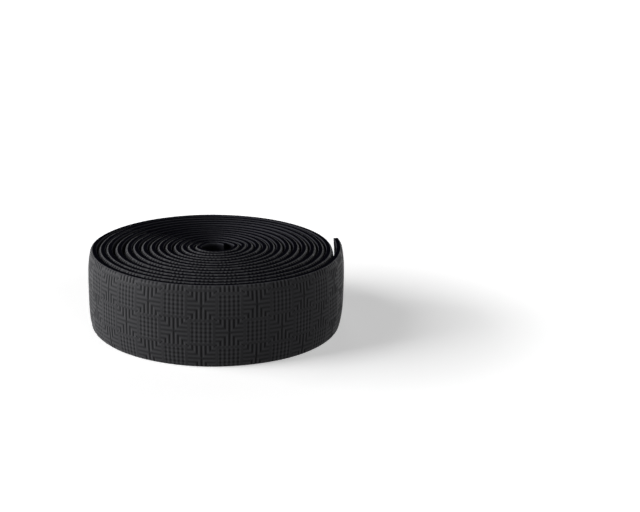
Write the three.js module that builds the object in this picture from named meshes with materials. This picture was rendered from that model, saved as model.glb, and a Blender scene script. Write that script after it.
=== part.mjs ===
// A roll of bicycle handlebar tape: one long cushioned strip, wound up on itself around an open hole
// and lying on its edge. Millimetres, +Z up. The roll rests on z = 0, and the origin is the middle of
// its footprint.
import * as THREE from 'three';

// Cross section of the strip
const tapeWidth = 30;
const tapeThickness = 2.5; // at the middle of the width
const edgeThickness = 0.8; // at both edges, which are thinned so that wraps overlap smoothly
const bevelWidth = 6.5; // the slope along each edge of the grip face
const bevelDrop = 1.15; // how far that slope falls on its way to the edge

// The winding, which runs counter-clockwise from the hole to the free end, seen from above
const holeRadius = 5; // from the axis to the strip's back, at the inner end
const turns = 13.92;
const innerSlack = 0.2; // room between the first turns, which were pulled tight
const outerSlack = 0.8; // room between the last turns, which lie looser
const freeEndDegrees = 14; // direction of the free end, counted from +X

// The free end, which springs up off the turn below
const flapLength = 24;
const flapLift = 1.6;

// Fineness of the facets
const segmentsPerTurn = 48;

const innerPitch = tapeThickness + innerSlack;
const outerPitch = tapeThickness + outerSlack;

// The section as a closed loop of (out, up) points: up the grip face with its two bevels, then down
// the back, whose edges curl up towards the face. out is counted from the middle of the back.
function sectionLoop() {
  const faceEdge = tapeThickness - bevelDrop;
  const backEdge = faceEdge - edgeThickness;
  return [
    new THREE.Vector2(faceEdge, 0),
    new THREE.Vector2(tapeThickness, bevelWidth),
    new THREE.Vector2(tapeThickness, tapeWidth - bevelWidth),
    new THREE.Vector2(faceEdge, tapeWidth),
    new THREE.Vector2(backEdge, tapeWidth),
    new THREE.Vector2(0, tapeWidth / 2),
    new THREE.Vector2(backEdge, 0),
  ];
}

// Radius of the middle of the back after a number of turns. The pitch grows evenly from the inner one
// to the outer one, and the last stretch lifts away as a flap.
function backRadius(turn) {
  const growth = innerPitch * turn + ((outerPitch - innerPitch) * turn ** 2) / (2 * turns);
  const wound = holeRadius + growth;
  const toFreeEnd = (turns - turn) * 2 * Math.PI * wound;
  const flap = Math.max(0, 1 - toFreeEnd / flapLength);
  return wound + flapLift * flap ** 2;
}

// Stations along the strip, in turns from the inner end. They stand at the same angles in every
// turn, so that the facets of neighbouring turns are parallel and never touch. The last step is
// shorter or longer than the others, to end where the strip ends.
function stationsAlong() {
  const steps = Math.round(turns * segmentsPerTurn);
  const stations = [];
  for (let i = 0; i < steps; i++) {
    stations.push(i / segmentsPerTurn);
  }
  stations.push(turns);
  return stations;
}

function stripGeometry() {
  const loop = sectionLoop();
  const stations = stationsAlong();
  const innerEndAngle = THREE.MathUtils.degToRad(freeEndDegrees) - 2 * Math.PI * turns;

  const positions = [];
  for (const turn of stations) {
    const angle = innerEndAngle + 2 * Math.PI * turn;
    const back = backRadius(turn);
    for (const point of loop) {
      const radius = back + point.x;
      positions.push(radius * Math.cos(angle), radius * Math.sin(angle), point.y);
    }
  }

  // Two triangles for each side of the loop between one station and the next
  const triangles = [];
  const size = loop.length;
  for (let ring = 0; ring < stations.length - 1; ring++) {
    for (let i = 0; i < size; i++) {
      const next = (i + 1) % size;
      const a = ring * size + i;
      const b = ring * size + next;
      const c = (ring + 1) * size + next;
      const d = (ring + 1) * size + i;
      triangles.push(a, d, c, a, c, b);
    }
  }

  // The two cut ends
  const lastRing = (stations.length - 1) * size;
  for (let i = 1; i < size - 1; i++) {
    triangles.push(0, i, i + 1);
    triangles.push(lastRing, lastRing + i + 1, lastRing + i);
  }

  const geometry = new THREE.BufferGeometry();
  geometry.setAttribute('position', new THREE.Float32BufferAttribute(positions, 3));
  geometry.setIndex(triangles);
  geometry.computeVertexNormals();
  return geometry;
}

const foam = new THREE.MeshStandardMaterial({ color: 0x1d1d1f, roughness: 0.72, metalness: 0 });

const strip = new THREE.Mesh(stripGeometry(), foam);
strip.name = 'tape_strip';

// The winding's axis is a little off the middle of the roll, because a spiral isn't quite round
strip.geometry.computeBoundingBox();
const middle = strip.geometry.boundingBox.getCenter(new THREE.Vector3());
strip.position.set(-middle.x, -middle.y, 0);

const group = new THREE.Group();
group.add(strip);

export default group;
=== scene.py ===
"""A roll of bicycle handlebar tape, lying on its edge: the looks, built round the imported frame.

Blender objects are in metres. The strip's own sizes are in millimetres, as in the part's source.
"""
import math

import bpy
import numpy as np
from mathutils import Matrix, Vector


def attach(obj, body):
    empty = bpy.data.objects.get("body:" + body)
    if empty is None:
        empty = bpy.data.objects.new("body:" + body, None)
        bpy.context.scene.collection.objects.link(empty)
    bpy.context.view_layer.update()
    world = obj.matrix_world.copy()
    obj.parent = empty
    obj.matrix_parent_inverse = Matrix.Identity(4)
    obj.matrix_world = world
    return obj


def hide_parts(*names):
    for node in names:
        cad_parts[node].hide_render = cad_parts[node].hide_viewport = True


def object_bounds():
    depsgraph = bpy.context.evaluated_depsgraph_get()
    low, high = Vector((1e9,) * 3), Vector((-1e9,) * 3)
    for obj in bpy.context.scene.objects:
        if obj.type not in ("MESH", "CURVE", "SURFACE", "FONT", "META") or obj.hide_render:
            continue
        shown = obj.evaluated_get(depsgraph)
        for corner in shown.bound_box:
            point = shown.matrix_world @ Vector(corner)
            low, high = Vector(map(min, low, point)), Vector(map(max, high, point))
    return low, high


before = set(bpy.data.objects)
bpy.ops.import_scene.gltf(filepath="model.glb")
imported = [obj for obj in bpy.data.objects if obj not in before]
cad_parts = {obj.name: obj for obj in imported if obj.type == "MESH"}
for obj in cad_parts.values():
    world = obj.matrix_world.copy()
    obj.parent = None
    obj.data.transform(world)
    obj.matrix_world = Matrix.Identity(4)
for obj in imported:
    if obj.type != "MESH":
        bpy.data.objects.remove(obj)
cad_low, cad_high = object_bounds()

MM = 0.001

# The strip, in millimetres. Width and thickness are the solid's. Towards its edges the face falls by
# CROWN_DROP, and the back curls away from it, which leaves EDGE_THICKNESS there
WIDTH = 30.0
THICKNESS = 2.5
EDGE_THICKNESS = 2.15
CROWN_DROP = 1.2
CROWN_POWER = 3.6
CURL_POWER = 2.5
EDGE_ROUND = 0.55
REAR_ROUND = 0.15

# The winding, counter-clockwise from the hole, in turns and millimetres
HOLE_RADIUS = 5.0
TURNS = 13.92
INNER_PITCH = 2.7
OUTER_PITCH = 3.3
FREE_END_ANGLE = math.radians(14)
FLAP_LENGTH = 24.0
FLAP_LIFT = 1.6
CONTACT_GAP = 0.05

# Where single turns lie a little out of the even spiral: (turn, width in turns, millimetres out)
BULGES = (
    (0.0, 0.10, 0.55),
    (0.925, 0.045, 0.75),
    (1.925, 0.05, 0.70),
    (2.925, 0.06, 0.45),
    (3.925, 0.07, 0.25),
    (3.38, 0.14, -0.25),
    (6.88, 0.18, -0.25),
    (7.88, 0.18, -0.20),
    (8.38, 0.16, 0.20),
    (10.38, 0.16, 0.40),
    (11.38, 0.16, 0.65),
    (12.38, 0.16, 0.12),
)

# How far the edges wave in and out, and how far the upper ones dip, in millimetres
EDGE_WAVE = 0.20
UNEVEN_TOP = 0.30
WAVE_POWER = 4
UPPER_PHASE = 0.4
LOWER_PHASE = 2.9
DIP_PHASE = 1.7
DIP_RATE = 0.37
# The sines that add up to an uneven wave: (waves in a turn, share of the phase, share of the height)
SINES = ((2.31, 1.0, 0.45), (5.17, 2.3, 0.35), (9.43, 3.9, 0.20))

# The embossed check, in millimetres: square blocks in a chequer, nested corners in turn with dots
BLOCK = 9.75
GROOVES_PER_BLOCK = 6.25
GROOVE = BLOCK / GROOVES_PER_BLOCK
GROOVE_POWER = 1.25
RELIEF = 0.24
# Where a block's own grooves end past its border, from its middle
GROOVE_END = 5.1
# Half the width of the knob in the middle of the nested corners, and of the dotted square, in grooves
KNOB = 0.35
DOTTED = 2.5
# Depth of the grooves that run along the tape, and of the joins between dots, against the rest
ALONG_DEPTH = 0.45
DOT_JOIN = 0.35
# How much the embossing also dents the rounded edge
ROUNDED_RELIEF = 0.6
DOTTED_BLOCK_HEIGHT = 13.25
DOTTED_BLOCK_ANGLE = math.radians(241.2)
DOTTED_BLOCK_TURN = TURNS - ((FREE_END_ANGLE - DOTTED_BLOCK_ANGLE) % (2 * math.pi)) / (2 * math.pi)

# How strongly the check's painted groove shade and ridge highlight show on the corner of the cut
# edge, and on the turns without embossing
CORNER_CHECK = 0.3
PLAIN_CHECK = 1.25
BUMP_RELIEF = 0.10
BUMP_FADE = (0.35, 1.6)

# Worn edges, lightened as a painted highlight: their width, how they fade inwards, and how uneven the
# pores make them
WEAR_AND_HIGHLIGHT_WIDTH = 1.1
WEAR_AND_HIGHLIGHT_POWER = 1.8
WEAR_AND_HIGHLIGHT_LEAST = 0.7
WEAR_AND_HIGHLIGHT_BY_PORES = 0.5
# Painted highlight on the ridges of the check, and how much less of it there is beside a dot
RIDGE_HIGHLIGHT_STRENGTH = 0.55
RIDGE_HIGHLIGHT_LESS_AT_DOTS = 0.7

# Fineness: the last turn and a little more is embossed, and the other turns are plain
EMBOSSED_TURNS = 1.04
SAMPLES_PER_GROOVE = 4
SAMPLE = GROOVE / SAMPLES_PER_GROOVE
LAST_STATION_GAP = 0.3 * SAMPLE
PLAIN_STATIONS_PER_TURN = 64
# Distances from either edge of a plain turn's rows on the face, and of every turn's on the back
FACE_ROWS_FROM_EDGE = (0.1, 0.6, 1.5, 2.8, 4.8, 8.5, 15.0)
BACK_ROWS_FROM_EDGE = (0.2, 1.1, 3.8, 10.0)
# Steps in which the tape's length is added up, and the box of the spiral is measured
LENGTH_SAMPLES = 20001
BOX_SAMPLES = 4000

# The three finishes, as numbers of their material slots
GRIP, BACKING, CUT = range(3)

# Colours of the grip face: two shades of the foam, a painted highlight on the ridges, worn edges
# lightened as a painted highlight, and painted shade in the grooves
FOAM_DARK = (0.030, 0.030, 0.032, 1)
FOAM_LIGHT = (0.045, 0.045, 0.048, 1)
RIDGE_PAINTED_HIGHLIGHT = (0.085, 0.085, 0.090, 1)
RUBBED_EDGE_HIGHLIGHT = (0.068, 0.068, 0.074, 1)
GROOVE_PAINTED_SHADE = (0.002, 0.002, 0.0023, 1)
GROOVE_SHADE_STRENGTH = 0.76
# Colours of the dull foam: two shades, and the worn edge lightened as a painted highlight
BACKING_COLORS = ((0.010, 0.010, 0.013, 1), (0.018, 0.018, 0.022, 1), (0.048, 0.048, 0.056, 1))
CUT_COLORS = ((0.003, 0.003, 0.005, 1), (0.004, 0.004, 0.007, 1), (0.0035, 0.0035, 0.006, 1))

# Gloss: roughness, what the grain and the grooves add to it, and specular levels
GRIP_ROUGHNESS = 0.36
GRIP_GRAIN_ROUGHNESS = 0.14
GROOVE_ROUGHNESS = 0.35
DULL_ROUGHNESS = 0.82
DULL_GRAIN_ROUGHNESS = 0.10
GRIP_SPECULAR = 0.04
BACKING_SPECULAR = 0.03
CUT_SPECULAR = 0.0

# Noise in the foam: (scale, detail, roughness), and the height of grain and pores in metres
GRAIN = (2600, 3.0, 0.6)
PORES = (900, 2.0, 0.5)
CLOUD = (45, 3.0, 0.55)
GRIP_GRAIN_HEIGHT = 0.00002
GRIP_PORE_HEIGHT = 0.00004
DULL_GRAIN_HEIGHT = 0.00003
DULL_PORE_HEIGHT = 0.00005

# The floor, in metres: paper as it is seen and as it lights the roll, and its lift to white
FLOOR_HALF = 2.5
PAPER = (0.95, 0.95, 0.95, 1)
PAPER_FOR_THE_ROLL = (0.10, 0.10, 0.10, 1)
WHITE = (1, 1, 1, 1)
FLOOR_LIFT = 0.45
LIFT_FROM = 0.06
LIFT_TO = 0.26

# Lamps: (name, azimuth, elevation, width and height in metres, watts)
LAMP_DISTANCE = 3.0
LAMPS = (
    ("key", -88, 13, 2.6, 1.6, 140.0),
    ("high", -80, 38, 1.2, 1.2, 28.0),
    ("fill", 22, 6, 0.4, 0.4, 21.0),
    ("top", 45, 38, 0.8, 0.5, 5.0),
    ("rim", 180, 38, 0.8, 0.4, 3.0),
    ("back", 140, 8, 1.5, 0.4, 9.0),
)

# Camera: how the photograph was taken, in pixels of its frame and millimetres
PHOTO_WIDTH = 640
PHOTO_HEIGHT = 512
FOCAL_PIXELS = 1196.0
CAMERA_DISTANCE = 460.1
CAMERA_TILT = math.radians(17.32)
CAMERA_ROLL = math.radians(1.57)
ROLL_MIDDLE_PIXEL = (214.94, 283.39)
SENSOR = 36.0


def even_radius(turn):
    """Radius of the middle of the strip's back in the even spiral, with the lifted free end."""
    wound = HOLE_RADIUS + INNER_PITCH * turn + (OUTER_PITCH - INNER_PITCH) * turn**2 / (2 * TURNS)
    to_free_end = (TURNS - turn) * 2 * math.pi * wound
    flap = np.clip(1 - to_free_end / FLAP_LENGTH, 0, None)
    return wound + FLAP_LIFT * flap**2


def back_radius(turn):
    """Radius of the middle of the strip's back."""
    bulge = np.zeros_like(turn)
    for at, width, amount in BULGES:
        bulge += amount * np.exp(-(((turn - at) / width) ** 2))
    return even_radius(turn) + bulge


def thickness(turn):
    """Thickness at the middle of the width, squeezed where the next turn presses on it."""
    room = back_radius(turn + 1) - back_radius(turn) - CONTACT_GAP
    covered = turn < TURNS - 1
    return np.where(covered, np.minimum(THICKNESS, room), THICKNESS)


def edgeness(height):
    """0 in the middle of the width and 1 at the edges."""
    return np.abs(2 * height / WIDTH - 1)


def from_edge(height):
    """Distance to the nearer edge of the tape."""
    return WIDTH / 2 * (1 - edgeness(height))


def angle_of(turn):
    return FREE_END_ANGLE + 2 * math.pi * (turn - TURNS)


def wave(turn, phase):
    """A smooth, uneven wave between -1 and 1."""
    total = 0
    for rate, shift, share in SINES:
        total = total + share * np.sin(2 * math.pi * rate * turn + shift * phase)
    return total


def edge_shift(turn, height):
    """The edges wave a little in and out, the upper and the lower one each in its own way."""
    phase = np.where(height > WIDTH / 2, UPPER_PHASE, LOWER_PHASE)
    return EDGE_WAVE * edgeness(height) ** WAVE_POWER * wave(turn, phase)


def face_radius(turn, height):
    fall = CROWN_DROP * edgeness(height) ** CROWN_POWER
    return back_radius(turn) + thickness(turn) - fall + edge_shift(turn, height)


def rear_radius(turn, height):
    curl = (thickness(turn) - CROWN_DROP - EDGE_THICKNESS) * edgeness(height) ** CURL_POWER
    return back_radius(turn) + curl + edge_shift(turn, height)


def height_of(turn, height):
    """Height of a point of the strip: the upper edges aren't quite level."""
    dip = UNEVEN_TOP * (0.5 + 0.5 * wave(turn * DIP_RATE, DIP_PHASE))
    return height - dip * (height / WIDTH) ** WAVE_POWER


def face_lengths():
    """Turns, and the length of face wound up to each of them, as two arrays."""
    turns = np.linspace(0, TURNS, LENGTH_SAMPLES)
    radius = back_radius(turns) + THICKNESS
    steps = 2 * math.pi * (radius[1:] + radius[:-1]) / 2 * np.diff(turns)
    return turns, np.concatenate([[0], np.cumsum(steps)])


SAMPLED_TURNS, SAMPLED_LENGTHS = face_lengths()


def length_at(turn):
    return np.interp(turn, SAMPLED_TURNS, SAMPLED_LENGTHS)


def turn_at(length):
    return np.interp(length, SAMPLED_LENGTHS, SAMPLED_TURNS)


def blocks_along(turn):
    """Place along the tape in blocks of the check. Column 0 is the dotted block's."""
    return (length_at(turn) - length_at(DOTTED_BLOCK_TURN)) / BLOCK


def blocks_across(height):
    """Place across the tape in blocks of the check. Row 1 is the dotted block's."""
    return (height - DOTTED_BLOCK_HEIGHT) / BLOCK + 1


def groove_profile(distance):
    """1 in the middle of a groove and 0 on the ridge between two."""
    return (0.5 + 0.5 * np.cos(2 * math.pi * distance / GROOVE)) ** GROOVE_POWER


def emboss(along, across):
    """Depth of the check from 0 to 1. Both places are in blocks.

    A block has nested corners where its column and row add up to an even number, and dots elsewhere.
    """
    column, row = np.round(along), np.round(across)
    x, y = np.abs((along - column) * BLOCK), np.abs((across - row) * BLOCK)
    nearer, further = np.minimum(x, y), np.maximum(x, y)
    lines = np.where(y > x, 1.0, ALONG_DEPTH) * groove_profile(nearer)
    corners = lines * (further > KNOB * GROOVE)
    joined = DOT_JOIN + (1 - DOT_JOIN) * groove_profile(y)
    dots = groove_profile(x) * joined * (further < DOTTED * GROOVE)
    # Grooves of the neighbouring blocks run a little way into the dotted one
    ends = lines * (BLOCK - further < GROOVE_END) * (nearer < DOTTED * GROOVE)
    return np.where((column + row) % 2 == 0, corners, np.maximum(dots, ends))


def from_both_edges(distances):
    """Heights at these distances from either edge, from the lowest up."""
    near = np.array(distances)
    return np.unique(np.concatenate([near, WIDTH - near]))


def strip_rows():
    """Heights of the embossed turn's face rows, which of them a plain turn has, and the back's."""
    first = math.ceil((2 * EDGE_ROUND - DOTTED_BLOCK_HEIGHT) / SAMPLE)
    last = math.floor((WIDTH - 2 * EDGE_ROUND - DOTTED_BLOCK_HEIGHT) / SAMPLE)
    inner = DOTTED_BLOCK_HEIGHT + SAMPLE * np.arange(first, last + 1)
    fine = np.concatenate([[EDGE_ROUND], inner, [WIDTH - EDGE_ROUND]])
    wanted = from_both_edges(FACE_ROWS_FROM_EDGE)
    plain = np.unique([np.abs(fine - height).argmin() for height in wanted])
    return fine, plain, from_both_edges(BACK_ROWS_FROM_EDGE)[::-1]


def rings(turns, face_heights, back_heights, embossed):
    """Loops round the section, one at each station: points, places on the tape and bump strengths.

    A place is the point's place along and across the tape, in blocks, and the strength there of the
    check's painted groove shade and ridge highlight. A loop goes up the face, over the upper edge,
    down the back and under the lower one.
    """
    t = turns[:, None]
    along = blocks_along(t)
    relief = (RELIEF if embossed else 0.0) * emboss(along, blocks_across(face_heights[None, :]))
    dent = ROUNDED_RELIEF * relief
    # How far the middle of the rounded edge lies inside the corner that the round takes off
    round_inset = EDGE_ROUND * (1 - math.sqrt(0.5))
    columns = [
        (face_radius(t, face_heights[None, :]) - relief, face_heights, 1.0),
        (face_radius(t, WIDTH) - round_inset - dent[:, -1:], [WIDTH - round_inset], 1.0),
        (face_radius(t, WIDTH) - EDGE_ROUND, [WIDTH], CORNER_CHECK),
        (rear_radius(t, WIDTH) + REAR_ROUND, [WIDTH], 0.0),
        (rear_radius(t, back_heights[None, :]), back_heights, 0.0),
        (rear_radius(t, 0.0) + REAR_ROUND, [0.0], 0.0),
        (face_radius(t, 0.0) - EDGE_ROUND, [0.0], CORNER_CHECK),
        (face_radius(t, 0.0) - round_inset - dent[:, :1], [round_inset], 1.0),
    ]
    radius = np.concatenate([column[0] for column in columns], axis=1)
    height = np.concatenate([column[1] for column in columns])[None, :]
    strength = np.concatenate([np.full(len(column[1]), column[2]) for column in columns])[None, :]

    angle = angle_of(t)
    points = np.stack([radius * np.cos(angle), radius * np.sin(angle), height_of(t, height)], axis=-1)
    check = strength * (1.0 if embossed else PLAIN_CHECK)
    places = np.stack(np.broadcast_arrays(along, blocks_across(height), check), axis=-1)
    fade = np.clip((from_edge(height) - BUMP_FADE[0]) / (BUMP_FADE[1] - BUMP_FADE[0]), 0, 1)
    bump = fade * (strength > 0) * (0.0 if embossed else 1.0)
    return points, places, np.broadcast_to(bump, radius.shape)


def quads(start, count, size):
    """Faces of a tube of rings with the same number of points, the first of them at start."""
    ring = np.arange(count - 1)[:, None] * size + start
    i = np.arange(size)[None, :]
    j = (i + 1) % size
    return np.stack([ring + i, ring + size + i, ring + size + j, ring + j], -1).reshape(-1, 4)


def column_kinds(size, face_rows):
    """Finish of each column of quads of a tube: grip face, cut edge, backing, cut edge, grip face."""
    kinds = np.full(size, GRIP)
    kinds[face_rows + 1:size - 2] = BACKING
    kinds[[face_rows + 1, size - 3]] = CUT
    return kinds


def embossed_stations(first_turn):
    """Turns at which the embossed stretch has its stations, in step with the check."""
    origin = length_at(DOTTED_BLOCK_TURN)
    first = math.ceil((length_at(first_turn) - origin) / SAMPLE)
    last = math.floor((length_at(TURNS) - LAST_STATION_GAP - origin) / SAMPLE)
    return np.append(turn_at(origin + SAMPLE * np.arange(first, last + 1)), TURNS)


def joining_faces(plain_start, plain_size, plain_rows, fine_start, fine_size, fine_row_count):
    """Faces from the last plain ring to the first embossed one, and their finishes.

    The embossed ring has more rows on the face. From the upper edge on, the two rings match.
    """
    faces = []
    for k in range(len(plain_rows) - 1):
        low, high = int(plain_rows[k]), int(plain_rows[k + 1])
        for row in range(low, high):
            faces.append([plain_start + k, fine_start + row, fine_start + row + 1])
        faces.append([plain_start + k, fine_start + high, plain_start + k + 1])
    kinds = [GRIP] * len(faces)

    plain_kinds = column_kinds(plain_size, len(plain_rows))
    extra_rows = fine_row_count - len(plain_rows)
    for i in range(len(plain_rows) - 1, plain_size):
        a = plain_start + i
        b = fine_start + extra_rows + i
        a_next = plain_start + (i + 1) % plain_size
        b_next = fine_start + (extra_rows + i + 1) % fine_size
        faces.append([a, b, b_next, a_next])
        kinds.append(int(plain_kinds[i]))
    return faces, kinds


def one_list(plain, fine):
    """The values of both stretches for each vertex, ring after ring."""
    return np.concatenate([plain.reshape(-1, *plain.shape[2:]), fine.reshape(-1, *fine.shape[2:])])


def build_strip():
    """The whole strip: vertices, faces, their finishes, and the two attributes of each vertex."""
    fine_rows, plain_rows, back_rows = strip_rows()
    fine = embossed_stations(TURNS - EMBOSSED_TURNS)
    plain = np.linspace(0, fine[0], round(fine[0] * PLAIN_STATIONS_PER_TURN), endpoint=False)
    plain_points, plain_places, plain_bump = rings(plain, fine_rows[plain_rows], back_rows, False)
    fine_points, fine_places, fine_bump = rings(fine, fine_rows, back_rows, True)

    plain_size, fine_size = plain_points.shape[1], fine_points.shape[1]
    offset = len(plain) * plain_size
    faces = quads(0, len(plain), plain_size).tolist() + quads(offset, len(fine), fine_size).tolist()
    kinds = np.tile(column_kinds(plain_size, len(plain_rows)), len(plain) - 1).tolist()
    kinds += np.tile(column_kinds(fine_size, len(fine_rows)), len(fine) - 1).tolist()

    joining, joining_kinds = joining_faces(
        offset - plain_size, plain_size, plain_rows, offset, fine_size, len(fine_rows)
    )
    faces += joining
    kinds += joining_kinds

    # The two cut ends
    last_ring = offset + (len(fine) - 1) * fine_size
    faces.append(list(range(plain_size)))
    faces.append(list(range(last_ring, last_ring + fine_size))[::-1])
    kinds += [CUT, CUT]

    points = one_list(plain_points, fine_points)
    places = one_list(plain_places, fine_places)
    return points, faces, kinds, places, one_list(plain_bump, fine_bump)


def spiral_middle():
    """Middle of the even spiral's own box, from its axis: the frame's origin stands there."""
    turns = np.linspace(TURNS - 1, TURNS, BOX_SAMPLES)
    radius = even_radius(turns) + THICKNESS
    x, y = radius * np.cos(angle_of(turns)), radius * np.sin(angle_of(turns))
    return (x.min() + x.max()) / 2, (y.min() + y.max()) / 2


def tape_strip_piece(materials, axis):
    """The strip as one object, with its places on the tape and its bump strengths as attributes."""
    points, faces, kinds, places, bump = build_strip()
    points = points * MM + np.array([axis.x, axis.y, 0])
    mesh = bpy.data.meshes.new("handlebar_tape")
    mesh.from_pydata(points.tolist(), [], faces)
    mesh.polygons.foreach_set("use_smooth", [kind != CUT for kind in kinds])
    tape_place = mesh.attributes.new("tape_place", "FLOAT_VECTOR", "POINT")
    tape_place.data.foreach_set("vector", places.astype(np.float32).ravel())
    tape_bump = mesh.attributes.new("tape_bump", "FLOAT", "POINT")
    tape_bump.data.foreach_set("value", bump.astype(np.float32))
    for material in materials:
        mesh.materials.append(material)
    mesh.polygons.foreach_set("material_index", kinds)
    mesh.update()
    strip = bpy.data.objects.new("handlebar_tape", mesh)
    bpy.context.scene.collection.objects.link(strip)
    return strip


class Nodes:
    """Short names for the nodes of one material or of the world."""

    def __init__(self, owner):
        owner.use_nodes = True
        self.tree = owner.node_tree
        self.tree.nodes.clear()

    def add(self, kind, **settings):
        node = self.tree.nodes.new(kind)
        for name, value in settings.items():
            setattr(node, name, value)
        return node

    def link(self, source, target):
        self.tree.links.new(source, target)

    def math(self, operation, *inputs):
        node = self.add("ShaderNodeMath", operation=operation)
        for socket, value in zip(node.inputs, inputs):
            if isinstance(value, (int, float)):
                socket.default_value = value
            else:
                self.link(value, socket)
        return node.outputs[0]

    def noise(self, coordinates, scale, detail, roughness):
        node = self.add("ShaderNodeTexNoise")
        node.inputs["Scale"].default_value = scale
        node.inputs["Detail"].default_value = detail
        node.inputs["Roughness"].default_value = roughness
        self.link(coordinates, node.inputs["Vector"])
        return node.outputs["Fac"]

    def mix_color(self, factor, first, second):
        node = self.add("ShaderNodeMix", data_type="RGBA")
        self.link(factor, node.inputs["Factor"])
        for socket, value in ((node.inputs["A"], first), (node.inputs["B"], second)):
            if isinstance(value, tuple):
                socket.default_value = value
            else:
                self.link(value, socket)
        return node.outputs["Result"]

    def tape_place(self):
        """Place along and across the tape, in blocks, and the strength of the check's painted groove
        shade and ridge highlight.
        """
        place = self.add("ShaderNodeAttribute", attribute_name="tape_place")
        split = self.add("ShaderNodeSeparateXYZ")
        self.link(place.outputs["Vector"], split.inputs[0])
        return split.outputs[0], split.outputs[1], split.outputs[2]

    def object_position(self):
        return self.add("ShaderNodeTexCoord").outputs["Object"]


def check_nodes(n, along, across):
    """The embossed check as nodes, up to 1: in its grooves, and on the ridges between them."""

    def profile(distance):
        turn = n.math("MULTIPLY", distance, 2 * math.pi * GROOVES_PER_BLOCK)
        wave_height = n.math("MULTIPLY_ADD", n.math("COSINE", turn), 0.5, 0.5)
        return n.math("POWER", wave_height, GROOVE_POWER)

    column = n.math("ROUND", along)
    row = n.math("ROUND", across)
    x = n.math("ABSOLUTE", n.math("SUBTRACT", along, column))
    y = n.math("ABSOLUTE", n.math("SUBTRACT", across, row))
    dotted = n.math("PINGPONG", n.math("ADD", column, row), 1.0)
    across_x, across_y, corner = profile(x), profile(y), profile(n.math("MINIMUM", x, y))

    # Nested corners
    upright = n.math("GREATER_THAN", y, x)
    depth = n.math("MULTIPLY_ADD", upright, 1 - ALONG_DEPTH, ALONG_DEPTH)
    lines = n.math("MULTIPLY", depth, n.math("SUBTRACT", 1.0, dotted))
    between_lines = n.math("SUBTRACT", 1.0, corner)

    # Dots
    inside = n.math("LESS_THAN", n.math("MAXIMUM", x, y), DOTTED / GROOVES_PER_BLOCK)
    dots = n.math("MULTIPLY", inside, dotted)
    joined = n.math("MULTIPLY_ADD", across_y, 1 - DOT_JOIN, DOT_JOIN)
    pits = n.math("MULTIPLY", across_x, joined)
    # The painted highlight on the ridges is weaker beside a dot
    less_at_dots = n.math("MULTIPLY_ADD", across_y, -RIDGE_HIGHLIGHT_LESS_AT_DOTS, 1.0)
    between_dots = n.math("MULTIPLY", n.math("SUBTRACT", 1.0, across_x), less_at_dots)

    grooves = n.math("MULTIPLY_ADD", lines, corner, n.math("MULTIPLY", dots, pits))
    ridges = n.math("MULTIPLY_ADD", lines, between_lines, n.math("MULTIPLY", dots, between_dots))
    return grooves, ridges


def edge_wear_and_highlight(n, across, pores):
    """About 1 at the two edges of the tape, where they are worn and lightened as a painted highlight,
    and 0 from WEAR_AND_HIGHLIGHT_WIDTH inwards.
    """
    off_middle = n.math("ABSOLUTE", n.math("SUBTRACT", across, blocks_across(WIDTH / 2)))
    past = n.math("MULTIPLY_ADD", off_middle, BLOCK / WEAR_AND_HIGHLIGHT_WIDTH, 1 - WIDTH / 2 / WEAR_AND_HIGHLIGHT_WIDTH)
    past = n.math("POWER", n.math("MAXIMUM", past, 0.0), WEAR_AND_HIGHLIGHT_POWER)
    return n.math("MULTIPLY", past, n.math("MULTIPLY_ADD", pores, WEAR_AND_HIGHLIGHT_BY_PORES, WEAR_AND_HIGHLIGHT_LEAST))


def finish_material(n, color, roughness, height, specular):
    """Ends a material's nodes: the bump, the shader and the output."""
    bump = n.add("ShaderNodeBump")
    bump.inputs["Strength"].default_value = 1.0
    bump.inputs["Distance"].default_value = 1.0
    n.link(height, bump.inputs["Height"])
    shader = n.add("ShaderNodeBsdfPrincipled")
    shader.inputs["Specular IOR Level"].default_value = specular
    n.link(color, shader.inputs["Base Color"])
    n.link(roughness, shader.inputs["Roughness"])
    n.link(bump.outputs["Normal"], shader.inputs["Normal"])
    output = n.add("ShaderNodeOutputMaterial")
    n.link(shader.outputs[0], output.inputs["Surface"])


def grip_material():
    """Matt black grip face, with painted shade in the grooves and a painted highlight on the ridges
    and on the worn edges.
    """
    material = bpy.data.materials.new("tape_grip")
    n = Nodes(material)
    along, across, strength = n.tape_place()
    grooves, ridges = check_nodes(n, along, across)
    check = n.math("MULTIPLY", grooves, strength)
    # Strength of the painted highlight on the ridges of the check
    ridge_highlight = n.math("MULTIPLY", ridges, n.math("MULTIPLY", strength, RIDGE_HIGHLIGHT_STRENGTH))
    bump_mask = n.add("ShaderNodeAttribute", attribute_name="tape_bump").outputs["Fac"]
    position = n.object_position()
    grain = n.noise(position, *GRAIN)
    pores = n.noise(position, *PORES)
    cloud = n.noise(position, *CLOUD)

    color = n.mix_color(cloud, FOAM_DARK, FOAM_LIGHT)
    # Painted highlight on the ridges of the check
    color = n.mix_color(ridge_highlight, color, RIDGE_PAINTED_HIGHLIGHT)
    # The edges, worn and lightened as a painted highlight
    color = n.mix_color(edge_wear_and_highlight(n, across, pores), color, RUBBED_EDGE_HIGHLIGHT)
    # Painted shade in the grooves of the check
    color = n.mix_color(n.math("MULTIPLY", check, GROOVE_SHADE_STRENGTH), color, GROOVE_PAINTED_SHADE)
    roughness = n.math("MULTIPLY_ADD", grain, GRIP_GRAIN_ROUGHNESS, GRIP_ROUGHNESS)
    roughness = n.math("MULTIPLY_ADD", check, GROOVE_ROUGHNESS, roughness)
    height = n.math("MULTIPLY", n.math("MULTIPLY", check, bump_mask), -BUMP_RELIEF * MM)
    height = n.math("MULTIPLY_ADD", grain, GRIP_GRAIN_HEIGHT, height)
    height = n.math("MULTIPLY_ADD", pores, GRIP_PORE_HEIGHT, height)
    finish_material(n, color, roughness, height, GRIP_SPECULAR)
    return material


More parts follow.
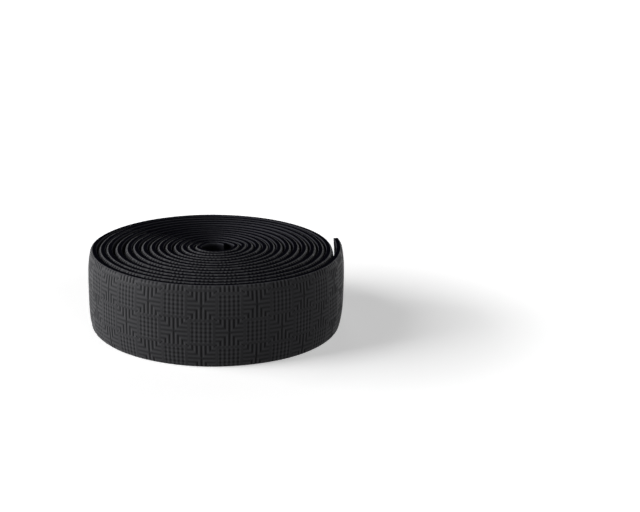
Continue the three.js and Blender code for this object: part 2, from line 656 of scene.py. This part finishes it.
def dull_material(name, dark, light, edge, specular):
    """Dull, slightly bluish black foam: the backing and the cut edges."""
    material = bpy.data.materials.new(name)
    n = Nodes(material)
    across = n.tape_place()[1]
    position = n.object_position()
    grain = n.noise(position, *GRAIN)
    pores = n.noise(position, *PORES)
    color = n.mix_color(pores, dark, light)
    # The edge, worn and lightened as a painted highlight
    color = n.mix_color(edge_wear_and_highlight(n, across, pores), color, edge)
    roughness = n.math("MULTIPLY_ADD", grain, DULL_GRAIN_ROUGHNESS, DULL_ROUGHNESS)
    height = n.math("MULTIPLY", grain, DULL_GRAIN_HEIGHT)
    height = n.math("MULTIPLY_ADD", pores, DULL_PORE_HEIGHT, height)
    finish_material(n, color, roughness, height, specular)
    return material


def background_rays(n):
    """1 for the rays that show the background: from the camera, and off or through shiny things."""
    path = n.add("ShaderNodeLightPath")
    seen = n.math("MAXIMUM", path.outputs["Is Camera Ray"], path.outputs["Is Glossy Ray"])
    return n.math("MAXIMUM", seen, path.outputs["Is Transmission Ray"])


def floor_material():
    """White paper that shows the roll's shadow, and sends little light back to the roll."""
    material = bpy.data.materials.new("floor")
    n = Nodes(material)
    seen = background_rays(n)
    paper = n.add("ShaderNodeBsdfDiffuse")
    paper.inputs["Color"].default_value = PAPER
    unseen = n.add("ShaderNodeBsdfDiffuse")
    unseen.inputs["Color"].default_value = PAPER_FOR_THE_ROLL
    surface = n.add("ShaderNodeMixShader")
    n.link(seen, surface.inputs[0])
    n.link(unseen.outputs[0], surface.inputs[1])
    n.link(paper.outputs[0], surface.inputs[2])

    # Away from the roll, where the lamps are weaker, the paper is lifted to white
    away = n.add("ShaderNodeVectorMath", operation="LENGTH")
    n.link(n.object_position(), away.inputs[0])
    lift = n.add("ShaderNodeMapRange", interpolation_type="SMOOTHSTEP")
    n.link(away.outputs["Value"], lift.inputs["Value"])
    lift.inputs["From Min"].default_value = LIFT_FROM
    lift.inputs["From Max"].default_value = LIFT_TO
    lift.inputs["To Min"].default_value = FLOOR_LIFT
    lift.inputs["To Max"].default_value = 1.0
    glow = n.add("ShaderNodeEmission")
    glow.inputs["Color"].default_value = WHITE
    n.link(n.math("MULTIPLY", seen, lift.outputs["Result"]), glow.inputs["Strength"])
    both = n.add("ShaderNodeAddShader")
    n.link(surface.outputs[0], both.inputs[0])
    n.link(glow.outputs[0], both.inputs[1])
    output = n.add("ShaderNodeOutputMaterial")
    n.link(both.outputs[0], output.inputs["Surface"])
    return material


def floor_piece():
    mesh = bpy.data.meshes.new("floor")
    half = FLOOR_HALF
    corners = [(-half, -half, 0), (half, -half, 0), (half, half, 0), (-half, half, 0)]
    mesh.from_pydata(corners, [], [(0, 1, 2, 3)])
    mesh.materials.append(floor_material())
    floor = bpy.data.objects.new("floor", mesh)
    bpy.context.scene.collection.objects.link(floor)


def studio_world():
    """White where it is seen, and no light from it on the roll."""
    world = bpy.data.worlds.new("studio")
    bpy.context.scene.world = world
    n = Nodes(world)
    background = n.add("ShaderNodeBackground")
    background.inputs["Color"].default_value = WHITE
    n.link(background_rays(n), background.inputs["Strength"])
    output = n.add("ShaderNodeOutputWorld")
    n.link(background.outputs[0], output.inputs["Surface"])


def softbox(name, azimuth, elevation, width, height, watts, target):
    """An area lamp that looks at the target. Azimuth 0 stands in front (-Y), 90 at +X."""
    a, e = math.radians(azimuth), math.radians(elevation)
    away = Vector((math.sin(a) * math.cos(e), -math.cos(a) * math.cos(e), math.sin(e)))
    light = bpy.data.lights.new(name, "AREA")
    light.shape = "RECTANGLE"
    light.size, light.size_y = width, height
    light.energy = watts
    lamp = bpy.data.objects.new(name, light)
    lamp.location = target + away * LAMP_DISTANCE
    lamp.rotation_euler = away.to_track_quat("Z", "Y").to_euler()
    bpy.context.scene.collection.objects.link(lamp)


def photo_camera(target):
    """Looks along the photograph's view, with the roll's middle on its pixel of the frame."""
    x = (ROLL_MIDDLE_PIXEL[0] - PHOTO_WIDTH / 2) / FOCAL_PIXELS
    y = (PHOTO_HEIGHT / 2 - ROLL_MIDDLE_PIXEL[1]) / FOCAL_PIXELS
    ray = Vector((x, y, -1)).normalized() * CAMERA_DISTANCE * MM
    turned = Matrix.Rotation(math.pi / 2 - CAMERA_TILT, 3, "X") @ Matrix.Rotation(CAMERA_ROLL, 3, "Z")
    away = -(turned @ ray)
    # Turned about the vertical so that the camera stands straight in front of the roll
    pan = Matrix.Rotation(-math.atan2(away.x, -away.y), 3, "Z")
    data = bpy.data.cameras.new("camera")
    data.sensor_width = SENSOR
    data.lens = FOCAL_PIXELS / PHOTO_WIDTH * SENSOR
    camera = bpy.data.objects.new("camera", data)
    camera.matrix_world = Matrix.Translation(target + pan @ away) @ (pan @ turned).to_4x4()
    bpy.context.scene.collection.objects.link(camera)
    bpy.context.scene.camera = camera


middle_x, middle_y = spiral_middle()
cad_middle = (cad_low + cad_high) / 2
roll_axis = Vector((cad_middle.x - middle_x * MM, cad_middle.y - middle_y * MM, 0))
roll_middle = roll_axis + Vector((0, 0, WIDTH / 2 * MM))

photo_camera(roll_middle)
floor_piece()
studio_world()
for lamp in LAMPS:
    softbox(*lamp, roll_middle)

backing = dull_material("tape_backing", *BACKING_COLORS, BACKING_SPECULAR)
cut_edge = dull_material("tape_cut_edge", *CUT_COLORS, CUT_SPECULAR)
strip = tape_strip_piece((grip_material(), backing, cut_edge), roll_axis)
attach(strip, "root")
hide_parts("tape_strip")

bpy.context.scene.view_settings.view_transform = "Standard"
